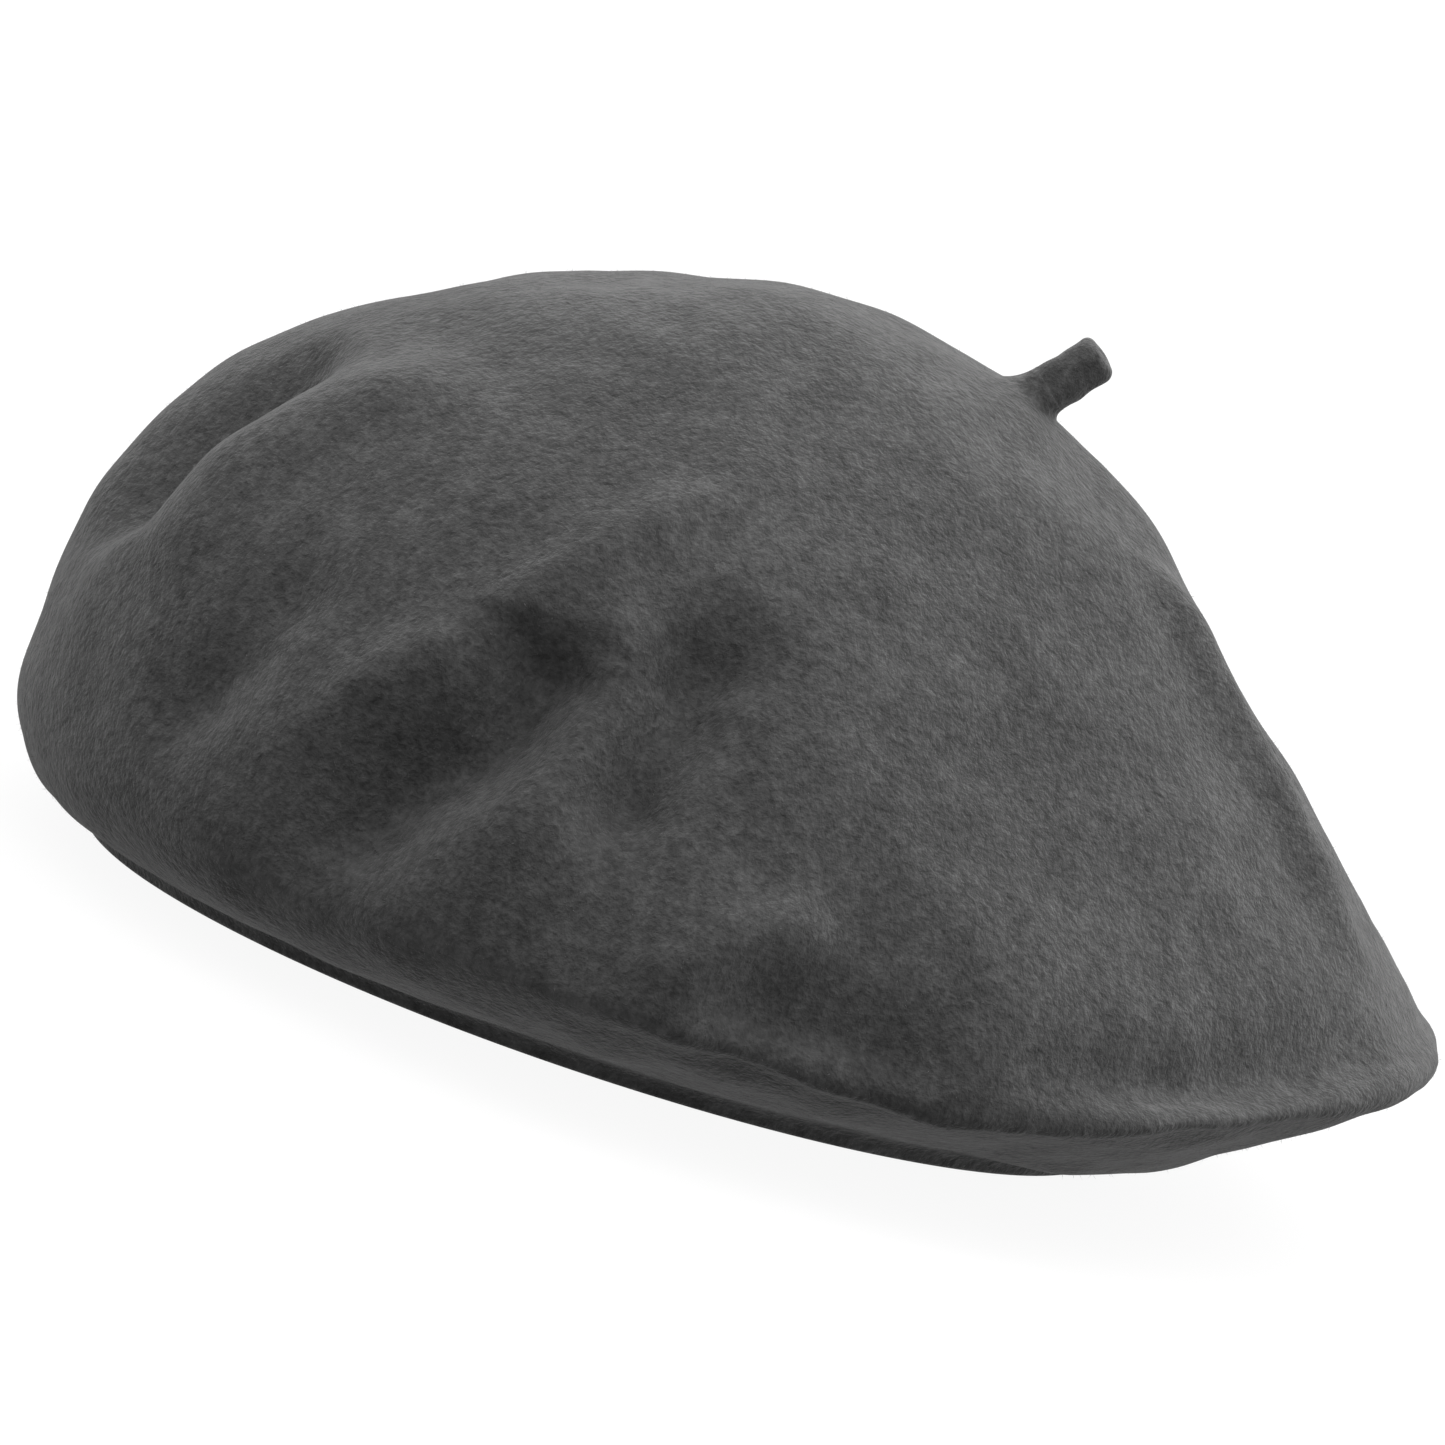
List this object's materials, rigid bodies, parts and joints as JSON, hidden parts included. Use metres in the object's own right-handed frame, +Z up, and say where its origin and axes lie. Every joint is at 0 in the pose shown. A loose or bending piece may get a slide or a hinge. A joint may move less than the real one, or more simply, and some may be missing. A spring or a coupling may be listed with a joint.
{
  "type": "beret",
  "caption": "Soft brimless felted wool hat with a full crown that slopes back from a short thick stalk, a folded rim, and a ribbon sweatband with a small bow inside the head opening.",
  "frame": {"origin": "centre of the head opening, in the plane of its lower edge", "axes": "+Z up through the crown, -Y towards the wearer's forehead, +Y towards the overhang at the back of the head, +X towards the wearer's left"},
  "size_m": [0.2558, 0.268, 0.1433],
  "materials": {
    "felt": "fulled wool felt, dark neutral grey, matt with a fine fibre sheen",
    "yarn": "twisted wool yarn, dark grey",
    "ribbon": "ribbed grosgrain ribbon, near black",
    "thread": "twisted sewing thread, dark grey",
    "label": "woven satin tape, off-white, blank"
  },
  "bodies": {
    "root": {"felt_body": "felt", "sweatband": "ribbon", "sweatband_stitching": "thread", "bow_loops": "ribbon", "bow_knot": "ribbon", "care_label_stitch": "thread"},
    "crown_top": {"stalk_base": "felt", "stalk_knot": "yarn", "stalk_tack_thread": "thread"},
    "stalk": {"stalk": "felt"},
    "care_label": {"care_label": "label"}
  },
  "joints": [
    {"name": "crown_press", "type": "slide", "parent": "root", "child": "crown_top", "axis": [0, 0, -1], "range_m": [0, 0.088], "deforming": ["felt_body"]},
    {"name": "stalk_bend", "type": "hinge", "parent": "crown_top", "child": "stalk", "pos_m": [0, 0.04496, 0.13379], "axis": [1, 0, 0], "range_deg": [-45, 45], "stiffness_Nm_per_rad": 0.005},
    {"name": "care_label_flap", "type": "hinge", "parent": "root", "child": "care_label", "pos_m": [0.07283, 0, 0.0235], "axis": [0, 1, 0], "range_deg": [0, 110]}
  ]
}
